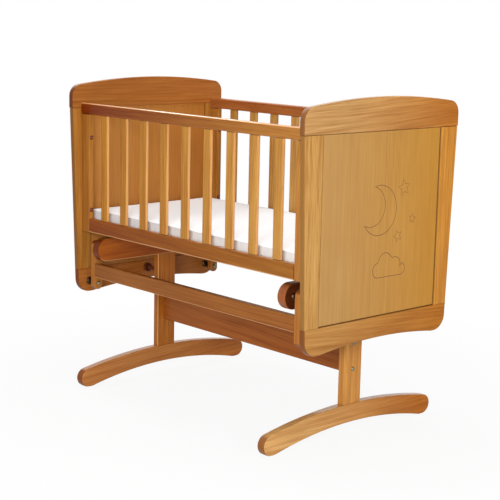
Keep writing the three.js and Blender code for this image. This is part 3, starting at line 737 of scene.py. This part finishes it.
def add_mattress():
    material = cotton("cotton_cover")
    bm = bmesh.new()
    rings = []

    def ring(inset, z, draw, spread=1.0, puff=0.0):
        verts = []
        for place, out, pull in mattress_walk(inset):
            p = (place - out * (MATTRESS_DRAW_IN * draw * pull - puff)) * spread
            verts.append(bm.verts.new(Vector((p.x, p.y + MATTRESS_SHIFT, MATTRESS_BOTTOM + z)) * MM))
        rings.append(verts)

    shoulder = MATTRESS_THICKNESS - MATTRESS_CROWN
    for i in range(EDGE_STEPS + 1):
        angle = math.pi / 2 * i / EDGE_STEPS
        ring(MATTRESS_EDGE * (1 - math.sin(angle)), MATTRESS_EDGE * (1 - math.cos(angle)), i / EDGE_STEPS)
    for i in range(1, SIDE_STEPS):
        z = MATTRESS_EDGE + (shoulder - 2 * MATTRESS_EDGE) * i / SIDE_STEPS
        ring(0, z, 1, puff=MATTRESS_PUFF * math.sin(math.pi * i / SIDE_STEPS))
    for i in range(EDGE_STEPS + 1):
        angle = math.pi / 2 * i / EDGE_STEPS
        z = shoulder - MATTRESS_EDGE * (1 - math.sin(angle))
        ring(MATTRESS_EDGE * (1 - math.cos(angle)), z, 1 - i / EDGE_STEPS)
    for i in range(1, TOP_STEPS):
        spread = 1 - i / TOP_STEPS
        ring(MATTRESS_EDGE, shoulder + MATTRESS_CROWN * math.sqrt(1 - spread**2), 0, spread)
    for low, high in zip(rings, rings[1:]):
        for i in range(len(low)):
            j = (i + 1) % len(low)
            bm.faces.new((low[i], low[j], high[j], high[i]))
    for verts, z in ((rings[0], 0), (rings[-1], MATTRESS_THICKNESS)):
        middle = bm.verts.new(Vector((0, MATTRESS_SHIFT, MATTRESS_BOTTOM + z)) * MM)
        for i in range(len(verts)):
            bm.faces.new((verts[i], verts[(i + 1) % len(verts)], middle))
    piece = add_piece("mattress_cushion", bm, material, "cradle")
    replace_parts(piece, "mattress")

    for label, z in (("lower", TAPE_RISE), ("upper", shoulder - TAPE_RISE)):
        bm = bmesh.new()
        rows = []
        for place, out, pull in mattress_walk(TAPE_INSET):
            centre = place - out * (MATTRESS_DRAW_IN * TAPE_DRAW * pull)
            row = []
            for k in range(TAPE_STEPS):
                angle = 2 * math.pi * k / TAPE_STEPS
                p = centre + out * (TAPE_RADIUS * math.cos(angle))
                height = MATTRESS_BOTTOM + z + TAPE_RADIUS * math.sin(angle)
                row.append(bm.verts.new(Vector((p.x, p.y + MATTRESS_SHIFT, height)) * MM))
            rows.append(row)
        for a, b in zip(rows, rows[1:] + rows[:1]):
            for k in range(TAPE_STEPS):
                m = (k + 1) % TAPE_STEPS
                bm.faces.new((a[k], a[m], b[m], b[k]))
        add_piece(f"mattress_{label}_piping", bm, material, "cradle")


# Engraved motif on the outer face of the right end: a crescent moon, stars and a cloud. Places and
# sizes in millimetres, angles in degrees
MOTIF_FACE_X = 469.5
LINE_WIDTH = 1.7
LINE_HEIGHT = 0.25
LINE_PROFILE = ((-1, -0.05), (-0.5, LINE_HEIGHT), (0.5, LINE_HEIGHT), (1, -0.05))
MOON = (-10, 590, 62, 160)  # y, z, radius, lean
STARS = ((78, 640, 22, 8), (112, 560, 13, -12), (60, 520, 16, 20))  # y, z, radius, lean
STAR_WAIST = 0.45
CLOUD = (30, 440, 62)  # y, z, size
PUFFS = (  # y, z, radius, first angle, last angle, in sizes of the cloud
    (-0.62, 0.0, 0.3, 270, 95),
    (-0.2, 0.28, 0.4, 170, 40),
    (0.38, 0.14, 0.32, 115, -20),
    (0.74, -0.06, 0.24, 75, -90),
)


def arc(cy, cz, radius, start, stop, steps=28):
    angles = [math.radians(start + (stop - start) * i / steps) for i in range(steps + 1)]
    return [(cy + radius * math.cos(a), cz + radius * math.sin(a)) for a in angles]


def star(cy, cz, radius, lean=0):
    points = []
    for i in range(10):
        reach = radius if i % 2 == 0 else radius * STAR_WAIST
        angle = math.radians(90 + lean + 36 * i)
        points.append((cy + reach * math.cos(angle), cz + reach * math.sin(angle)))
    return points


def crescent(cy, cz, radius, lean):
    """Outer arc and inner arc that meet in two tips, turned by lean degrees."""
    inner_radius = 0.8 * radius
    shift = 0.5 * radius
    tip = math.acos((radius**2 + shift**2 - inner_radius**2) / (2 * radius * shift))
    inner_tip = math.atan2(radius * math.sin(tip), radius * math.cos(tip) - shift)
    outer = arc(cy, cz, radius, math.degrees(tip), 360 - math.degrees(tip), 48)
    inner = arc(cy + shift, cz, inner_radius, 360 - math.degrees(inner_tip), math.degrees(inner_tip), 40)
    turn = math.radians(lean)
    points = []
    for y, z in outer + inner[1:-1]:
        aside, above = y - cy, z - cz
        points.append((
            cy + aside * math.cos(turn) - above * math.sin(turn),
            cz + aside * math.sin(turn) + above * math.cos(turn),
        ))
    return points


def cloud(cy, cz, size):
    points = []
    for y, z, r, start, stop in PUFFS:
        points += arc(cy + y * size, cz + z * size, r * size, start, stop, 14)
    return points


def add_line(bm, points):
    """Closed raised line through points (y, z) on the panel's face."""
    rows = []
    for i, (y, z) in enumerate(points):
        before, after = points[i - 1], points[(i + 1) % len(points)]
        along = Vector((after[0] - before[0], after[1] - before[1])).normalized()
        across = Vector((-along.y, along.x)) * LINE_WIDTH / 2
        row = []
        for share, height in LINE_PROFILE:
            place = (MOTIF_FACE_X + height, y + across.x * share, z + across.y * share)
            row.append(bm.verts.new(Vector(place) * MM))
        rows.append(row)
    for a, b in zip(rows, rows[1:] + rows[:1]):
        for k in range(3):
            bm.faces.new((a[k], a[k + 1], b[k + 1], b[k]))


def add_motif():
    bm = bmesh.new()
    add_line(bm, crescent(*MOON))
    for place in STARS:
        add_line(bm, star(*place))
    add_line(bm, cloud(*CLOUD))
    darker = times(BURNT_LINE, (0.6, 0.6, 0.6))
    burnt = clouded("burnt_line", 300.0, 2.0, BURNT_LINE, darker, (0.6, 0.8), 0.0)
    add_piece("night_sky_motif", bm, burnt, "cradle")


# Studio: lamps as (name, place, target, width, height, power)
LAMPS = (
    ("key", (2.0, -2.5, 1.2), (0.1, -0.1, 0.55), 1.2, 1.0, 73),
    ("right", (3.3, -0.4, 1.3), (0.3, 0, 0.5), 1.3, 1.2, 29),
    ("left", (-1.7, -0.1, 2.3), (0, 0, 0.6), 0.8, 0.5, 20),
    ("top", (0, 0.1, 2.7), (0, 0, 0.5), 1.3, 0.9, 31),
)
WORLD_COLOUR = (1, 0.97, 0.94)
WORLD_STRENGTH = 0.22
WHITE = (1, 1, 1)
FLOOR_SIZE = 40
FLOOR_GREY = (0.7, 0.7, 0.7, 1)
FLOOR_WHITE_RANGE = (0.6, 1.3, 0.92, 1.0)  # from and to a distance, the share of plain white


def add_lamp(name, place, target, width, height, power):
    data = bpy.data.lights.new(name, "AREA")
    data.shape = "RECTANGLE"
    data.size = width
    data.size_y = height
    data.energy = power
    lamp = bpy.data.objects.new(name, data)
    bpy.context.scene.collection.objects.link(lamp)
    lamp.location = place
    lamp.rotation_euler = (Vector(target) - Vector(place)).to_track_quat("-Z", "Y").to_euler()


def camera_sees(tree):
    """1 for the camera and for what gloss and glass show, 0 for light on the object."""
    path = tree.nodes.new("ShaderNodeLightPath")
    seen = maths(tree, "MAXIMUM", path.outputs["Is Camera Ray"], path.outputs["Is Glossy Ray"])
    return maths(tree, "MAXIMUM", seen, path.outputs["Is Transmission Ray"])


def add_world():
    world = bpy.data.worlds.new("studio")
    bpy.context.scene.world = world
    world.use_nodes = True
    tree = world.node_tree
    tree.nodes.clear()
    seen = camera_sees(tree)
    colour = mixed(tree, seen, WORLD_COLOUR, WHITE)
    strength = ranged(tree, seen, 0, 1, WORLD_STRENGTH, 1.0)
    background = node(tree, "ShaderNodeBackground", {"Color": colour, "Strength": strength})
    output = tree.nodes.new("ShaderNodeOutputWorld")
    tree.links.new(background.outputs[0], output.inputs[0])


def add_floor():
    bm = bmesh.new()
    bmesh.ops.create_grid(bm, x_segments=1, y_segments=1, size=FLOOR_SIZE)
    mesh = bpy.data.meshes.new("floor")
    bm.to_mesh(mesh)
    bm.free()
    floor = bpy.data.objects.new("floor", mesh)
    bpy.context.scene.collection.objects.link(floor)
    material, tree, shader = new_material("floor")
    shader.inputs["Base Color"].default_value = FLOOR_GREY
    shader.inputs["Roughness"].default_value = 0.9
    shader.inputs["Specular IOR Level"].default_value = 0.0
    place = tree.nodes.new("ShaderNodeTexCoord").outputs["Object"]
    distance = vector_maths(tree, "LENGTH", place).outputs["Value"]
    white = node(tree, "ShaderNodeEmission", {"Color": (*WHITE, 1), "Strength": 1.0})
    share = maths(tree, "MULTIPLY", camera_sees(tree), ranged(tree, distance, *FLOOR_WHITE_RANGE))
    mix = node(tree, "ShaderNodeMixShader", {0: share, 1: shader.outputs[0], 2: white.outputs[0]})
    tree.links.new(mix.outputs[0], tree.nodes["Material Output"].inputs[0])
    mesh.materials.append(material)


def add_studio():
    add_world()
    for lamp in LAMPS:
        add_lamp(*lamp)
    add_floor()


def add_camera():
    sin_yaw, cos_yaw = math.sin(CAMERA_YAW), math.cos(CAMERA_YAW)
    sin_pitch, cos_pitch = math.sin(CAMERA_PITCH), math.cos(CAMERA_PITCH)
    forward = Vector((-sin_yaw * cos_pitch, cos_yaw * cos_pitch, -sin_pitch))
    right = Vector((cos_yaw, sin_yaw, 0))
    up = right.cross(forward)
    tilted_right = right * math.cos(CAMERA_ROLL) + up * math.sin(CAMERA_ROLL)
    tilted_up = up * math.cos(CAMERA_ROLL) - right * math.sin(CAMERA_ROLL)
    data = bpy.data.cameras.new("camera")
    data.lens = CAMERA_LENS
    data.sensor_width = SENSOR_WIDTH
    camera = bpy.data.objects.new("camera", data)
    bpy.context.scene.collection.objects.link(camera)
    turn = Matrix((tilted_right, tilted_up, -forward)).transposed().to_4x4()
    camera.matrix_world = Matrix.Translation(CAMERA_PLACE) @ turn
    bpy.context.scene.camera = camera


add_camera()
add_studio()
dress_wood()
add_pivots()
add_fasteners()
add_mattress()
add_motif()
bpy.context.scene.view_settings.view_transform = "Standard"
